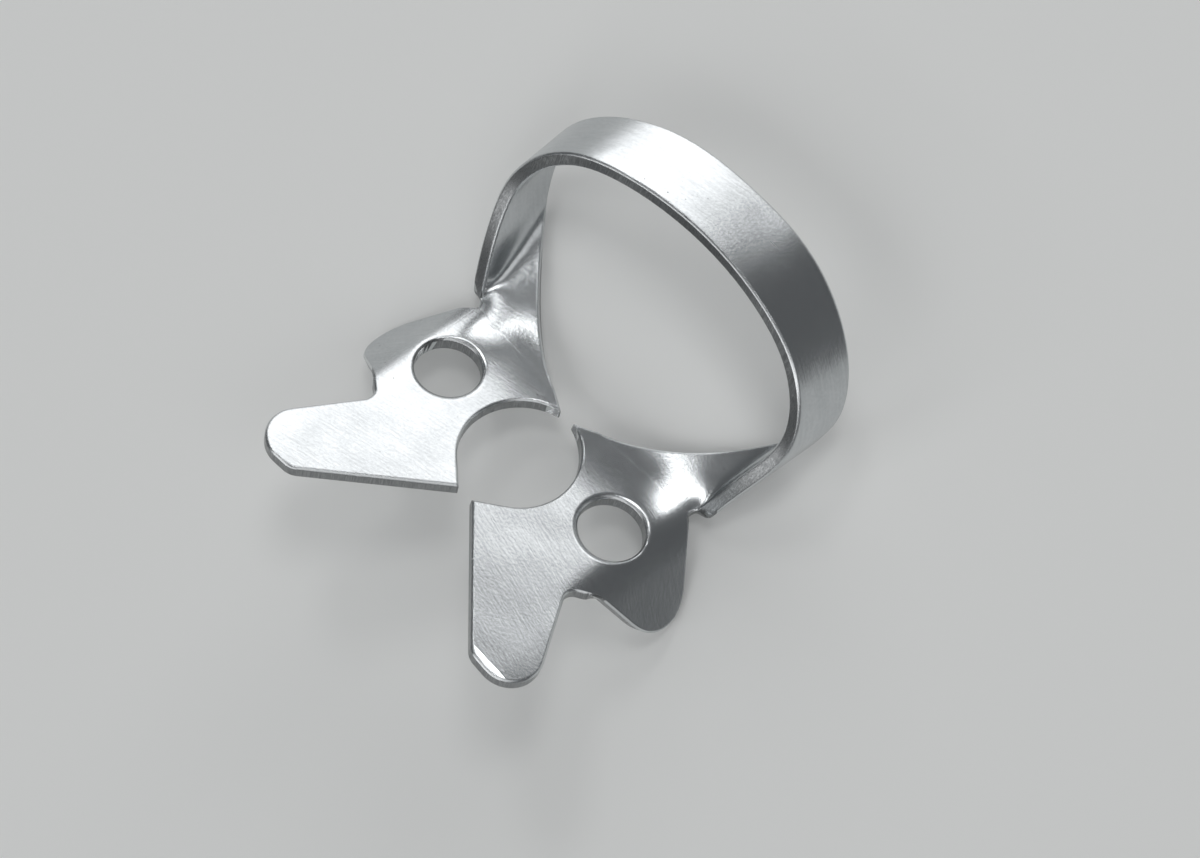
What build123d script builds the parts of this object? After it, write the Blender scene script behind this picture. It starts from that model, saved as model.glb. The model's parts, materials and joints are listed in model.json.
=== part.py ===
"""Rubber dam clamp: two winged jaws and a raised bow, folded from one sheet of spring steel.

Millimetres. X runs across the clamp, Y runs back from the jaws to the bow and Z is up.
The sheet is drawn with the points of the jaws at height zero, then tipped and lowered
on to the places it rests on: the two side wings and the heels of the bow.
Every outline is drawn on the sheet's upper face, which is also the inside of the bow.
"""
import math
import os
from build123d import *

# Sheet, with its cut edges broken all round
sheet_thickness = 0.75
edge_break = 0.10

# Jaw plate, drawn flat; each plate slopes down a little towards its outside
jaw_slope = 3.0
hole_offset = 5.83
hole_radius = 1.70
prong_gap = 0.94
back_prong_y = 2.58
front_prong_y = -4.40
notch_x = 2.92
notch_y = -0.80
notch_end_x = 1.72
notch_end_y = -3.30

# Front wing, with two rounded corners
wing_front_x = 6.35
wing_front_y = -10.00
wing_front_round = 1.00
wing_end_x = 10.40
wing_end_y = -10.15
wing_end_round = 1.65

# Inner corner between the front wing and the side wing
crotch_x = 6.78
crotch_y = -4.00
crotch_round = 0.60

# Side wing, two straight edges and a rounded tip, bent down from the plate
side_tip_x = 12.28
side_tip_y = 0.06
side_tip_round = 2.33
side_bend_radius = 1.00
side_bend_angle = 47.7

# Foot of the bow, a line across the plate from its outer corner to its back edge
foot_front_x = 7.57
foot_front_y = 3.70
foot_front_heading = 70.0
foot_back_x = 1.50
foot_back_y = 3.22
foot_back_heading = 22.0

# Bow, from foot to apex: each run along its front edge, which turns up sharply at the foot
bend_run = (0.02, 0.10, -0.37)
heel_run = (0.07, 0.16, 0.13)
knee_run = (0.14, 0.20, 0.44)
shin_run = (0.70, 0.82, 2.55)
leg_run = (0.57, 1.40, 2.68)
shoulder_run = (-0.99, 0.90, 2.45)
crown_run = (-3.28, 0.78, 1.82)
apex_run = (0.00, 0.51, 0.28)

# Bow, at the same places: the way across the strip to its back edge, which sweeps round the heel
bend_across = (-4.04, 0.50, 0.45)
heel_across = (-1.03, 2.87, 1.37)
knee_across = (0.55, 4.40, 2.34)
shin_across = (0.60, 4.34, 1.40)
leg_across = (0.21, 3.50, 0.36)
shoulder_across = (0.39, 3.32, -0.10)
crown_across = (0.15, 3.86, 0.08)
apex_across = (0.00, 3.98, -0.02)

jaw_plane = Plane.XY.rotated((0, jaw_slope, 0))
back_prong = (prong_gap / 2, back_prong_y)
front_prong = (prong_gap / 2, front_prong_y)
wing_front = (wing_front_x, wing_front_y)
wing_end = (wing_end_x, wing_end_y)
crotch = (crotch_x, crotch_y)
side_tip = (side_tip_x, side_tip_y)
foot_front = (foot_front_x, foot_front_y)
foot_back = (foot_back_x, foot_back_y)


def flip(vector):
    """The same point or direction on the other side of the clamp."""
    return Vector(-vector.X, vector.Y, vector.Z)


def on_foot(foot):
    """A place at the foot of the bow, on the sloping plate."""
    return jaw_plane.from_local_coords(Vector(*foot, 0))


def bow_edge(points, heading, stations):
    """One edge of the bow as a curve from the right foot over the apex to the left foot."""
    turn = math.radians(heading)
    pace = (points[1] - points[0]).length / stations[1]
    start = jaw_plane.from_local_coords(Vector(math.cos(turn), math.sin(turn), 0)) * pace
    whole = points + [flip(point) for point in reversed(points[:-1])]
    return Edge.make_spline(whole, tangents=[start, flip(start) * -1], parameters=stations, scale=False)


def thicken_towards(face, height):
    """The sheet on one side of a face: above it for a positive height, below it for a negative one."""
    rise = face.normal_at(face.center()).Z
    thicken(face, amount=math.copysign(sheet_thickness, rise * height))


def break_edges(piece, *seams):
    """Chamfer the cut edges of a piece of sheet, apart from the seams where it joins the next piece."""
    cut = piece.faces().sort_by(SortBy.AREA)[-2:].edges()
    for seam in seams:
        cut = cut.filter_by(Axis((0, 0, 0), seam), reverse=True)
    chamfer(cut, edge_break)


# Outline of one jaw in plan, from the back prong round the notch, both wings and the foot of the bow
with BuildSketch() as outline:
    with BuildLine():
        notch = ThreePointArc(back_prong, (notch_x, notch_y), (notch_end_x, notch_end_y))
        Polyline(notch @ 1, front_prong, wing_front, wing_end, crotch, side_tip, foot_front)
        Polyline(foot_front, foot_back, back_prong)
    make_face()
    fillet(outline.vertices().sort_by_distance(wing_front)[0], wing_front_round)
    fillet(outline.vertices().sort_by_distance(wing_end)[0], wing_end_round)
    fillet(outline.vertices().sort_by_distance(side_tip)[0], side_tip_round)
    fillet(outline.vertices().sort_by_distance(crotch)[0], crotch_round)

# The side wing bends along the line from the middle of the crotch's round to the foot of the bow
crotch_arc = outline.edges().filter_by(GeomType.CIRCLE).sort_by_distance(crotch)[0]
side_start = crotch_arc.arc_center
along = Vector(*foot_front) - side_start
outward = Vector(along.Y, -along.X, 0)

with BuildLine(Plane(origin=side_start, x_dir=outward, z_dir=along * -1)) as side_section:
    fold = JernArc((0, 0), (1, 0), side_bend_radius, -side_bend_angle)
    flat = PolarLine(fold @ 1, side_tip_x, direction=fold % 1)

with BuildPart() as outline_prism:
    add(outline.sketch)
    extrude(amount=side_tip_x, both=True)

# The flat plate of one jaw, at height zero
foot_line = Vector(*foot_back) - Vector(*foot_front)
with BuildPart() as plate:
    with BuildSketch() as plate_outline:
        add(outline.sketch)
        with BuildLine():
            Polyline(side_start, foot_front, outward + foot_front, outward + side_start, close=True)
        make_face(mode=Mode.SUBTRACT)
    extrude(amount=-sheet_thickness)
    break_edges(plate, along, foot_line)

# The side wing: its bend, then its flat end
with BuildPart() as side_bend:
    thicken_towards((Face.extrude(fold, along) & outline_prism.part).faces()[0], -1)
    break_edges(side_bend, along)

with BuildPart() as side_wing:
    thicken_towards((Face.extrude(flat, along) & outline_prism.part).faces()[0], -1)
    break_edges(side_wing, along)

with BuildPart() as jaw:
    add(plate.part)
    add(side_bend.part)
    add(side_wing.part)
    with Locations((hole_offset, 0, 0)):
        CounterSinkHole(hole_radius, hole_radius + edge_break, counter_sink_angle=90)

# The bow: a ruled face between its two edges, given the sheet's thickness on the outside
with BuildPart() as bow:
    runs = (bend_run, heel_run, knee_run, shin_run, leg_run, shoulder_run, crown_run)
    widths = (bend_across, heel_across, knee_across, shin_across, leg_across, shoulder_across, crown_across)
    front = [on_foot(foot_front)]
    back = [on_foot(foot_back)]
    place = Vector(*foot_front, 0)
    for run, width in zip(runs, widths):
        place = place + Vector(*run)
        front.append(place)
        back.append(place + Vector(*width))
    apex = Vector(0, place.Y, place.Z) + Vector(*apex_run)
    front.append(apex)
    back.append(apex + Vector(*apex_across))
    stations = [0.0]
    for i in range(len(front) - 1):
        step = (front[i + 1] - front[i]).length + (back[i + 1] - back[i]).length
        stations.append(stations[-1] + step)
    stations += [2 * stations[-1] - station for station in reversed(stations[:-1])]
    front_edge = bow_edge(front, foot_front_heading, stations)
    back_edge = bow_edge(back, foot_back_heading, stations)
    thicken_towards(Face.make_surface_from_curves(front_edge, back_edge), 1)
    long_edges = bow.edges().filter_by(GeomType.BSPLINE).sort_by(SortBy.LENGTH)[-4:]
    chamfer(long_edges, edge_break)

right_jaw = jaw_plane.location * jaw.part


def lowest(shape, tip):
    """Height of a shape's lowest point once the clamp is tipped about the X axis."""
    return shape.rotate(Axis.X, tip).bounding_box().min.Z


# Tip the clamp back until the side wings and the heels of the bow stand equally low
tip_low = -45.0
tip_high = 0.0
for _ in range(24):
    tip = (tip_low + tip_high) / 2
    if lowest(bow.part, tip) < lowest(right_jaw, tip):
        tip_low = tip
    else:
        tip_high = tip

with BuildPart() as clamp:
    add(bow.part)
    add(right_jaw)
    add(mirror(right_jaw, about=Plane.YZ, mode=Mode.PRIVATE))
    tipped = clamp.part.rotate(Axis.X, tip)
    box = tipped.bounding_box()
    add(tipped.translate((0, -box.center().Y, -box.min.Z)), mode=Mode.REPLACE)

os.makedirs("parts", exist_ok=True)
clamp.part.label = "clamp"
export_step(clamp.part, "parts/clamp.step")
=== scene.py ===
"""Looks of the rubber dam clamp: polished spring steel on a plain pale table.

The clamp itself comes from the frame, in metres, and is never moved. This file gives its broad
faces, broken edges and cut walls their finishes, with painted shade on the cut walls, and adds the
stage: floor, lights and camera.
"""
import json
import math
import bpy
from bpy.props import FloatProperty, FloatVectorProperty, PointerProperty
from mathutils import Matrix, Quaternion, Vector
from mathutils.bvhtree import BVHTree

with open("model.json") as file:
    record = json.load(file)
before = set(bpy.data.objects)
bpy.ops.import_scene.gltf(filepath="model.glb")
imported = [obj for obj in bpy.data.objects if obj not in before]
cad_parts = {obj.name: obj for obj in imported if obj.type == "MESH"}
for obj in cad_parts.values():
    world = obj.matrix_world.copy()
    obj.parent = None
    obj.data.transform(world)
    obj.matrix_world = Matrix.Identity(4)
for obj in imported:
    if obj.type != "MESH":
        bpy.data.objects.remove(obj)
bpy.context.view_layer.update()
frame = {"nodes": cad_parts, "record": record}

bl_info = {
    "name": "Rubber dam clamp looks",
    "version": (1, 0, 0),
    "blender": (4, 5, 0),
    "location": "View3D > Sidebar > Clamp",
    "description": "Finishes a folded steel dam clamp and sets its stage",
    "category": "Material",
}

MM = 0.001
MICRON = 0.000001
IMAGE_WIDTH = 1200
SENSOR_WIDTH = 36.0
STRAIGHT_RAYS = ("Camera", "Glossy", "Transmission")

MOUNTS = {mount["name"]: mount for mount in frame["record"]["mounts"]}
HOLE = Vector(MOUNTS["right_forceps_hole"]["pos_m"])
GRIP_UP = Vector(MOUNTS["tooth_grip"]["axis"])

# Directions of the right jaw, and the way its side wing faces
JAW_UP = Vector(MOUNTS["right_forceps_hole"]["axis"])
JAW_BACK = Vector((0.0, GRIP_UP.z, -GRIP_UP.y))
JAW_OUT = JAW_BACK.cross(JAW_UP)
WING_BEND = math.radians(34.0)
WING_UP = JAW_UP * math.cos(WING_BEND) + JAW_OUT * math.sin(WING_BEND)

# Places on the jaw, from the middle of the hole's wall
TOP_ABOVE = 0.425 * MM
FOLD_ACROSS = 1.74 * MM
FOOT_ALONG = 3.56 * MM
CROTCH_ALONG = -4.2 * MM

# Steel straight in under a face: little under the sheet's broad faces, most under its cut walls
UNDER_BROAD = 0.85 * MM
UNDER_BROKEN_EDGE = 1.12 * MM


class Socket:
    """One shader value. Its operators add Math nodes to the material that it belongs to."""

    def __init__(self, shader, output):
        self.shader = shader
        self.output = output

    def math(self, operation, *others):
        """A Math node of this value and others."""
        return self.shader.node(
            "ShaderNodeMath", {"operation": operation}, dict(enumerate((self, *others)))
        )

    def __add__(self, other):
        return self.math("ADD", other)

    def __radd__(self, other):
        return self.math("ADD", other)

    def __sub__(self, other):
        return self.math("SUBTRACT", other)

    def __rsub__(self, other):
        return self.shader.node("ShaderNodeMath", {"operation": "SUBTRACT"}, {0: other, 1: self})

    def __mul__(self, other):
        return self.math("MULTIPLY", other)

    def __rmul__(self, other):
        return self.math("MULTIPLY", other)

    def __pow__(self, other):
        return self.math("POWER", other)

    def __abs__(self):
        return self.math("ABSOLUTE")

    def at_least(self, other):
        """The larger of this value and another."""
        return self.math("MAXIMUM", other)


class Shader:
    """A material's node tree, filled by expressions on sockets."""

    def __init__(self, name):
        self.material = bpy.data.materials.new(name)
        self.material.use_nodes = True
        self.tree = self.material.node_tree
        self.principled = self.tree.nodes["Principled BSDF"]

    def node(self, kind, settings=None, inputs=None, output=0):
        """Add a node of any kind: its settings first, then the values or links of its inputs."""
        made = self.tree.nodes.new(kind)
        for name, value in (settings or {}).items():
            setattr(made, name, value)
        for key, value in (inputs or {}).items():
            self.feed(made.inputs[key], value)
        return Socket(self, made.outputs[output])

    def feed(self, socket, value):
        """Link an input to a socket, or set it to a plain value."""
        if isinstance(value, Socket):
            self.tree.links.new(value.output, socket)
        else:
            socket.default_value = value

    def set(self, **values):
        """Values or links for the main shader's sockets, named with underscores for spaces."""
        for name, value in values.items():
            self.feed(self.principled.inputs[name.replace("_", " ")], value)

    def step(self, value, low, high):
        """A soft step that rises from 0 at low to 1 at high."""
        return self.node(
            "ShaderNodeMapRange", {"interpolation_type": "SMOOTHSTEP"},
            {"Value": value, "From Min": low, "From Max": high},
        )

    def noise(self, vector, size, detail):
        """Cloudy noise from 0 to 1 whose patches are about as large as size."""
        return self.node(
            "ShaderNodeTexNoise", None, {"Vector": vector, "Scale": 1.0 / size, "Detail": detail}
        )

    def vector(self, x, y, z):
        """A vector of three values."""
        return self.node("ShaderNodeCombineXYZ", None, {"X": x, "Y": y, "Z": z})

    def blend(self, share, first, second):
        """A colour between two, by a share from 0 to 1."""
        return self.node(
            "ShaderNodeMix", {"data_type": "RGBA"}, {"Factor": share, 6: first, 7: second}, output=2
        )

    def turn(self, share, first, second):
        """A direction between two, by a share from 0 to 1."""
        between = self.node(
            "ShaderNodeMix", {"data_type": "VECTOR"}, {"Factor": share, 4: first, 5: second}, output=1
        )
        return self.node("ShaderNodeVectorMath", {"operation": "NORMALIZE"}, {0: between})

    def total(self, *vectors):
        """The direction of the sum of some vectors."""
        so_far = vectors[0]
        for vector in vectors[1:]:
            so_far = self.node("ShaderNodeVectorMath", {"operation": "ADD"}, {0: so_far, 1: vector})
        return self.node("ShaderNodeVectorMath", {"operation": "NORMALIZE"}, {0: so_far})

    def rounded(self, radius):
        """The normal of a surface whose edges are rounded to a radius."""
        return self.node("ShaderNodeBevel", {"samples": 6}, {"Radius": radius})

    def bump(self, height, under):
        """The normal of a surface that stands off by a height in metres."""
        return self.node(
            "ShaderNodeBump", None,
            {"Height": height, "Distance": 1.0, "Strength": 1.0, "Normal": under},
        )


class SheetPlace:
    """Where a shaded point lies on the clamp, measured from the nearer forceps hole along its jaw."""

    def __init__(self, shader):
        self.shader = shader
        self.point = shader.node("ShaderNodeTexCoord", output="Object")
        x, y, z = (
            shader.node("ShaderNodeSeparateXYZ", None, {0: self.point}, output=axis) for axis in "XYZ"
        )
        back = y - HOLE.y
        rise = z - HOLE.z
        self.side = x.math("SIGN")
        self.across = abs(x) - HOLE.x
        self.along = back * JAW_BACK.y + rise * JAW_BACK.z
        self.above = self.across * JAW_UP.x + back * JAW_UP.y + rise * JAW_UP.z

    def facing(self, direction):
        """A direction of the right jaw, mirrored for points on the left jaw."""
        return self.shader.vector(self.side * direction.x, direction.y, direction.z)


class ClampFinish(bpy.types.PropertyGroup):
    """Colours, roughness and surface marks of the steel"""
    steel_colour: FloatVectorProperty(
        name="Steel colour", description="Colour of the polished sheet", subtype="COLOR",
        size=3, default=(0.66, 0.68, 0.69), min=0.0, max=1.0,
    )
    smudge_colour: FloatVectorProperty(
        name="Smudge colour", description="Colour of the duller patches of the sheet", subtype="COLOR",
        size=3, default=(0.49, 0.51, 0.525), min=0.0, max=1.0,
    )
    sheared_colour: FloatVectorProperty(
        name="Sheared colour", description="Colour of the smooth part of the cut walls", subtype="COLOR",
        size=3, default=(0.36, 0.37, 0.375), min=0.0, max=1.0,
    )
    # Dark colour of the pits, and of the torn part of the cut walls, where it is also painted shade for
    # the shaded walls
    pit_and_wall_shade_colour: FloatVectorProperty(
        name="Wall colour", description="Colour of the torn part of the cut walls", subtype="COLOR",
        size=3, default=(0.20, 0.205, 0.21), min=0.0, max=1.0,
    )
    roughness: FloatProperty(
        name="Polish", description="Roughness of the polished faces", subtype="FACTOR",
        default=0.24, min=0.0, max=1.0,
    )
    wall_roughness: FloatProperty(
        name="Wall roughness", description="Roughness of the torn part of the cut walls",
        subtype="FACTOR", default=0.38, min=0.0, max=1.0,
    )
    edge_round: FloatProperty(
        name="Edge round", description="Round that polishing leaves on the broken edges",
        default=0.13 * MM, unit="LENGTH",
    )
    scratch_depth: FloatProperty(
        name="Scratch depth", description="Depth of the fine polishing lines",
        default=2.2 * MICRON, unit="LENGTH",
    )
    grain_depth: FloatProperty(
        name="Grain depth", description="Height of the satin grain of the polished faces",
        default=3.0 * MICRON, unit="LENGTH",
    )
    ripple_depth: FloatProperty(
        name="Ripple depth", description="Height of the soft waves left by hand polishing",
        default=25.0 * MICRON, unit="LENGTH",
    )
    foot_ease: FloatProperty(
        name="Foot ease", description="How far the jaws have turned up where the bow starts",
        default=math.radians(23.0), subtype="ANGLE",
    )


class ClampStage(bpy.types.PropertyGroup):
    """Floor, surround and camera"""
    floor_colour: FloatVectorProperty(
        name="Floor colour", description="Colour of the plain floor", subtype="COLOR",
        size=3, default=(0.78, 0.79, 0.78), min=0.0, max=1.0,
    )
    floor_lift: FloatVectorProperty(
        name="Floor lift", description="Light that the floor shows by itself, so that it stays pale",
        subtype="COLOR", size=3, default=(0.06, 0.06, 0.06), min=0.0, max=1.0,
    )
    floor_size: FloatProperty(
        name="Floor size", description="Side of the square floor", default=2.0, unit="LENGTH",
    )
    surround_colour: FloatVectorProperty(
        name="Surround colour", description="Colour of the room around the floor", subtype="COLOR",
        size=3, default=(0.60, 0.62, 0.64), min=0.0, max=1.0,
    )
    surround_strength: FloatProperty(
        name="Surround strength", description="Brightness of the room around the floor",
        subtype="FACTOR", default=0.20, min=0.0, max=1.0,
    )
    camera_azimuth: FloatProperty(
        name="Camera azimuth", description="Turn of the camera round the clamp",
        default=math.radians(104.28), subtype="ANGLE",
    )
    camera_elevation: FloatProperty(
        name="Camera elevation", description="Height of the camera above the horizon",
        default=math.radians(74.50), subtype="ANGLE",
    )
    camera_roll: FloatProperty(
        name="Camera roll", description="Turn of the camera about its own axis",
        default=math.radians(-60.48), subtype="ANGLE",
    )
    camera_distance: FloatProperty(
        name="Camera distance", description="Distance from the camera to the point it aims at",
        default=144.88 * MM, unit="LENGTH",
    )
    camera_aim: FloatVectorProperty(
        name="Camera aim", description="Point at the middle of the picture", subtype="XYZ",
        size=3, default=(2.11 * MM, -0.84 * MM, 4.0 * MM), unit="LENGTH",
    )
    focal_pixels: FloatProperty(
        name="Focal length", description="Focal length in pixels of the picture", subtype="PIXEL",
        default=3000.0,
    )


def polished_steel(sizes):
    """The broad faces: hand polished, with fine lines, soft waves and a few duller patches."""
    smudge_size = 2.6 * MM
    grain_size = 0.14 * MM
    ripple_size = 3.6 * MM
    steel = Shader("polished_steel")
    place = SheetPlace(steel)
    smudges = steel.noise(place.point, smudge_size, detail=3.0)
    grain = steel.noise(place.point, grain_size, detail=3.0)
    lines = polishing_lines(steel, place)
    pits = small_pits(steel, place)
    mottle = 0.6 * smudges + 0.4 * steel.step(0.55 * grain + 0.45 * lines, 0.35, 0.65)
    clean = steel.blend(mottle, (*sizes.steel_colour, 1.0), (*sizes.smudge_colour, 1.0))
    steel.set(
        Base_Color=steel.blend(pits, clean, (*sizes.pit_and_wall_shade_colour, 1.0)),
        Metallic=1.0,
        Roughness=sizes.roughness + 0.10 * (smudges - 0.5) + 0.06 * (lines - 0.5),
    )
    ripples = steel.noise(place.point, ripple_size, detail=1.0) * sizes.ripple_depth
    texture = grain * sizes.grain_depth + lines * sizes.scratch_depth
    height = ripples + texture + jaw_crown(steel, place) + hole_rim(place)
    facing = steel.total(
        eased_folds(steel, place, sizes),
        edge_turn(steel, sizes),
        crown_lean(steel, place),
        ground_end(steel, place),
    )
    steel.set(Normal=steel.bump(height, facing))
    return steel.material


def eased_folds(shader, place, sizes):
    """The way the sheet faces, with the folds of the side wing and of the bow's foot made gentle."""
    foot_slant = 0.08
    inner_share = 0.42
    fold_half = 1.5 * MM
    crotch_half = 0.8 * MM
    surface = shader.node("ShaderNodeNewGeometry", output="Normal")
    foot_up = JAW_UP * math.cos(sizes.foot_ease) - JAW_BACK * math.sin(sizes.foot_ease)
    up_the_bow = (place.above - TOP_ABOVE).at_least(0.0)
    past_foot = place.along - foot_slant * place.across - FOOT_ALONG + up_the_bow
    outer = shader.step(place.across, -1.5 * MM, 1.2 * MM)
    foot_share = inner_share + (1.0 - inner_share) * outer
    to_foot = foot_share * shader.step(past_foot, -3.8 * MM, 0.3 * MM)
    to_bow = shader.step(past_foot, 0.0, 3.0 * MM)
    behind_crotch = shader.step(place.along, CROTCH_ALONG - crotch_half, CROTCH_ALONG + crotch_half)
    to_wing = behind_crotch * shader.step(place.across, FOLD_ACROSS - fold_half, FOLD_ACROSS + fold_half)
    jaw = shader.turn(to_foot, place.facing(JAW_UP), place.facing(foot_up))
    jaw = shader.turn(to_wing, jaw, place.facing(WING_UP))
    upward = shader.node(
        "ShaderNodeVectorMath", {"operation": "DOT_PRODUCT"}, {0: surface, 1: place.facing(JAW_UP)},
        output="Value",
    )
    on_top = shader.step(upward, -0.25, -0.15)
    return shader.turn(on_top * (1.0 - to_bow), surface, jaw)


def edge_turn(shader, sizes):
    """How far the broad faces turn away near their edges, which polishing has rounded."""
    surface = shader.node("ShaderNodeNewGeometry", output="Normal")
    rounded = shader.rounded(sizes.edge_round)
    return shader.node("ShaderNodeVectorMath", {"operation": "SUBTRACT"}, {0: rounded, 1: surface})


def polishing_lines(shader, place):
    """Fine lines that run across the clamp, a little towards its front on the outside."""
    lean = math.radians(13.0)
    line_length = 1.3 * MM
    line_pitch = 0.11 * MM
    line_rise = 5.0 * MM
    run = place.across * math.cos(lean) - place.along * math.sin(lean)
    cross = place.across * math.sin(lean) + place.along * math.cos(lean)
    stretched = shader.vector(
        run * (1.0 / line_length), cross * (1.0 / line_pitch), place.above * (1.0 / line_rise)
    )
    return shader.noise(stretched, 1.0, detail=3.0)


def small_pits(shader, place):
    """A few dark specks, 1 in the middle of each and 0 elsewhere."""
    spacing = 1.0 * MM
    pit_radius = 0.055 * MM
    apart = shader.node("ShaderNodeTexVoronoi", None, {"Vector": place.point, "Scale": 1.0 / spacing})
    return 1.0 - shader.step(apart, 0.5 * pit_radius / spacing, pit_radius / spacing)


def jaw_crown(shader, place):
    """The jaws are not quite flat: they dip a little towards the notch and towards the outside."""
    flat_half = 1.6 * MM
    outer_curve = 18.0
    inner_curve = 4.0
    outside = (place.across - flat_half).at_least(0.0)
    inside = (-1.0 * place.across - flat_half).at_least(0.0)
    on_wing = 1.0 - shader.step(place.along, -5.0 * MM, -3.5 * MM)
    on_jaw = 1.0 - shader.step(place.along, 0.0, 2.0 * MM)
    return outside * outside * on_wing * -outer_curve + inside * inside * on_jaw * -inner_curve


def hole_rim(place):
    """The rim of the forceps hole is rubbed round."""
    rim_radius = 2.02 * MM
    curve = 750.0
    from_axis = (place.across * place.across + place.along * place.along) ** 0.5
    within = (rim_radius - from_axis).at_least(0.0)
    return within * within * -curve


def crown_lean(shader, place):
    """How far the top of the bow leans to the right, as it was bent by hand."""
    lean = 0.17
    x = place.side * (place.across + HOLE.x)
    on_right = shader.step(x, -5.0 * MM, 1.5 * MM) * (1.0 - shader.step(x, 5.0 * MM, 8.5 * MM))
    on_top = shader.step(place.above, 3.0 * MM, 6.0 * MM)
    return shader.vector(lean * on_right * on_top, 0.0, 0.0)


def ground_end(shader, place):
    """The turn of the small facet that was ground on the end of the right front wing."""
    turn = JAW_OUT * 0.07 - JAW_BACK * 0.38
    at_end = 1.0 - shader.step(place.along, -9.62 * MM, -9.54 * MM)
    at_corner = 1.0 - shader.step(place.across, 2.0 * MM, 3.2 * MM)
    share = at_end * at_corner * place.side.at_least(0.0)
    return shader.node("ShaderNodeVectorMath", {"operation": "SCALE"}, {0: turn, "Scale": share})


def burnished_edge(sizes):
    """The broken edges, rubbed bright."""
    nick_size = 0.18 * MM
    nick_depth = 4.0 * MICRON
    edge = Shader("burnished_edge")
    place = SheetPlace(edge)
    nicks = edge.noise(place.point, nick_size, detail=2.0)
    edge.set(Base_Color=(*sizes.steel_colour, 1.0), Metallic=1.0, Roughness=0.16 + 0.16 * nicks)
    edge.set(Normal=edge.bump(nicks * nick_depth, edge.rounded(sizes.edge_round)))
    return edge.material


def cut_wall_painted_shade(sizes):
    """The walls left by stamping, streaked through the sheet: smooth where sheared, dull where torn. The
    torn part's dark colour is partly painted shade, for the shade that the walls lie in.
    """
    streak_width = 0.06 * MM
    streak_length = 0.9 * MM
    streak_depth = 1.2 * MICRON
    wall = Shader("cut_wall_painted_shade")
    place = SheetPlace(wall)
    streaks = wall.vector(
        place.across * (1.0 / streak_width),
        place.along * (1.0 / streak_width),
        place.above * (1.0 / streak_length),
    )
    grain = wall.noise(streaks, 1.0, detail=3.0)
    torn = wall.step(grain, 0.25, 0.80)
    # The torn part's colour is dark partly because the steel is dull there and partly as painted shade
    # on the walls
    wall.set(
        Base_Color=wall.blend(torn, (*sizes.sheared_colour, 1.0), (*sizes.pit_and_wall_shade_colour, 1.0)),
        Metallic=1.0,
        Roughness=sizes.roughness + torn * (sizes.wall_roughness - sizes.roughness),
    )
    wall.set(Normal=wall.bump(grain * streak_depth, wall.rounded(sizes.edge_round)))
    return wall.material


def steel_under(mesh):
    """For each face, how far the steel goes straight in under its middle."""
    tree = BVHTree.FromPolygons([v.co for v in mesh.vertices], [p.vertices for p in mesh.polygons])
    skin = 0.5 * MICRON
    depths = []
    for face in mesh.polygons:
        inward = -face.normal
        depth = tree.ray_cast(face.center + inward * skin, inward)[3]
        depths.append(depth or 0.0)
    return depths


class CLAMP_OT_finish_clamp(bpy.types.Operator):
    """Give the clamp's broad faces, broken edges and cut walls their steel, with painted shade on the
    cut walls
    """
    bl_idname = "clamp.finish_clamp"
    bl_label = "Finish the clamp"

    def execute(self, context):
        sizes = context.scene.clamp_finish
        clamp = frame["nodes"]["clamp"]
        clamp.material_slots[0].material = polished_steel(sizes)
        clamp.data.materials.append(burnished_edge(sizes))
        clamp.data.materials.append(cut_wall_painted_shade(sizes))
        for face, depth in zip(clamp.data.polygons, steel_under(clamp.data)):
            face.material_index = (depth > UNDER_BROAD) + (depth > UNDER_BROKEN_EDGE)
        return {"FINISHED"}


def add_area_light(name, azimuth, elevation, distance, width, height, radiance):
    """A soft box that shines at the clamp. Azimuth turns from the back of the clamp to its right."""
    lamp = bpy.data.lights.new(name, "AREA")
    lamp.shape = "RECTANGLE"
    lamp.size = width
    lamp.size_y = height
    lamp.energy = radiance * math.pi * width * height
    light = bpy.data.objects.new(name, lamp)
    bpy.context.scene.collection.objects.link(light)
    turn = math.radians(azimuth)
    rise = math.radians(elevation)
    towards = Vector((math.sin(turn) * math.cos(rise), math.cos(turn) * math.cos(rise), math.sin(rise)))
    light.location = towards * distance
    light.rotation_mode = "QUATERNION"
    light.rotation_quaternion = (-towards).to_track_quat("-Z", "Y")


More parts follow.
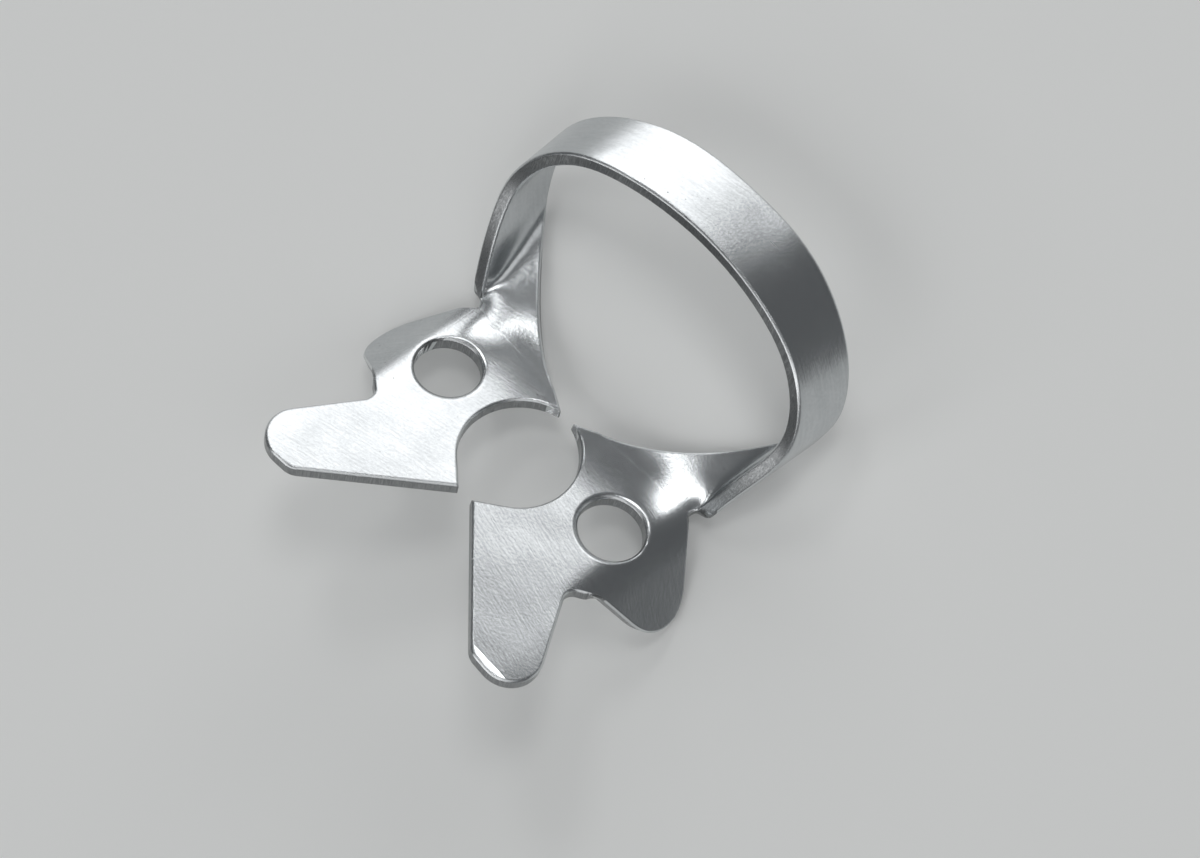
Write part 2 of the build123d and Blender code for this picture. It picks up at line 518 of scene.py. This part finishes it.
class CLAMP_OT_set_stage(bpy.types.Operator):
    """Add the floor, the lights and the camera"""
    bl_idname = "clamp.set_stage"
    bl_label = "Set the stage"

    def execute(self, context):
        stage = context.scene.clamp_stage
        self.add_floor(stage)
        self.add_lights()
        self.add_world(stage)
        self.add_camera(stage)
        context.scene.view_settings.view_transform = "Standard"
        return {"FINISHED"}

    def add_floor(self, stage):
        half = stage.floor_size / 2
        corners = [(-half, -half, 0), (half, -half, 0), (half, half, 0), (-half, half, 0)]
        mesh = bpy.data.meshes.new("floor")
        mesh.from_pydata(corners, [], [(0, 1, 2, 3)])
        floor = bpy.data.objects.new("floor", mesh)
        bpy.context.scene.collection.objects.link(floor)
        paper = Shader("pale_floor")
        paper.set(Base_Color=(*stage.floor_colour, 1.0), Roughness=0.8, Emission_Strength=1.0)
        paths = [paper.node("ShaderNodeLightPath", output=f"Is {kind} Ray") for kind in STRAIGHT_RAYS]
        seen = paths[0].at_least(paths[1]).at_least(paths[2])
        paper.set(Emission_Color=paper.blend(seen, (0.0, 0.0, 0.0, 1.0), (*stage.floor_lift, 1.0)))
        mesh.materials.append(paper.material)

    def add_lights(self):
        """A wide low window behind, two small boxes for the bright spots, and two soft fills."""
        add_area_light(
            "window_light", azimuth=-30.0, elevation=16.0, distance=0.6,
            width=0.62, height=0.30, radiance=1.95,
        )
        add_area_light(
            "top_light", azimuth=-4.0, elevation=66.0, distance=0.6,
            width=0.13, height=0.16, radiance=6.0,
        )
        add_area_light(
            "side_light", azimuth=-47.0, elevation=48.0, distance=0.6,
            width=0.11, height=0.11, radiance=6.0,
        )
        add_area_light(
            "front_light", azimuth=180.0, elevation=45.0, distance=0.8,
            width=1.0, height=0.5, radiance=1.5,
        )
        add_area_light(
            "fill_light", azimuth=95.0, elevation=52.0, distance=0.8,
            width=0.7, height=0.4, radiance=0.8,
        )

    def add_world(self, stage):
        world = bpy.data.worlds.new("studio")
        bpy.context.scene.world = world
        world.use_nodes = True
        background = world.node_tree.nodes["Background"]
        background.inputs["Color"].default_value = (*stage.surround_colour, 1.0)
        background.inputs["Strength"].default_value = stage.surround_strength

    def add_camera(self, stage):
        azimuth = stage.camera_azimuth
        elevation = stage.camera_elevation
        back = Vector((
            math.sin(azimuth) * math.cos(elevation),
            -math.cos(azimuth) * math.cos(elevation),
            math.sin(elevation),
        ))
        camera = bpy.data.objects.new("camera", bpy.data.cameras.new("camera"))
        camera.data.sensor_width = SENSOR_WIDTH
        camera.data.lens = SENSOR_WIDTH * stage.focal_pixels / IMAGE_WIDTH
        camera.data.clip_start = 1 * MM
        camera.location = Vector(stage.camera_aim) + back * stage.camera_distance
        camera.rotation_mode = "QUATERNION"
        level = (-back).to_track_quat("-Z", "Y")
        camera.rotation_quaternion = level @ Quaternion((0, 0, 1), stage.camera_roll)
        bpy.context.scene.collection.objects.link(camera)
        bpy.context.scene.camera = camera


class CLAMP_PT_panel(bpy.types.Panel):
    """Lists the steps that dress the clamp"""
    bl_idname = "CLAMP_PT_panel"
    bl_label = "Dam clamp"
    bl_space_type = "VIEW_3D"
    bl_region_type = "UI"
    bl_category = "Clamp"

    def draw(self, context):
        layout = self.layout
        layout.operator(CLAMP_OT_finish_clamp.bl_idname)
        layout.operator(CLAMP_OT_set_stage.bl_idname)
        for group in (context.scene.clamp_finish, context.scene.clamp_stage):
            for name in group.__annotations__:
                layout.prop(group, name)


CLASSES = (ClampFinish, ClampStage, CLAMP_OT_finish_clamp, CLAMP_OT_set_stage, CLAMP_PT_panel)


def register():
    for cls in CLASSES:
        bpy.utils.register_class(cls)
    bpy.types.Scene.clamp_finish = PointerProperty(type=ClampFinish)
    bpy.types.Scene.clamp_stage = PointerProperty(type=ClampStage)


def unregister():
    del bpy.types.Scene.clamp_stage
    del bpy.types.Scene.clamp_finish
    for cls in reversed(CLASSES):
        bpy.utils.unregister_class(cls)


def main():
    register()
    bpy.ops.clamp.finish_clamp()
    bpy.ops.clamp.set_stage()


if __name__ == "__main__":
    main()
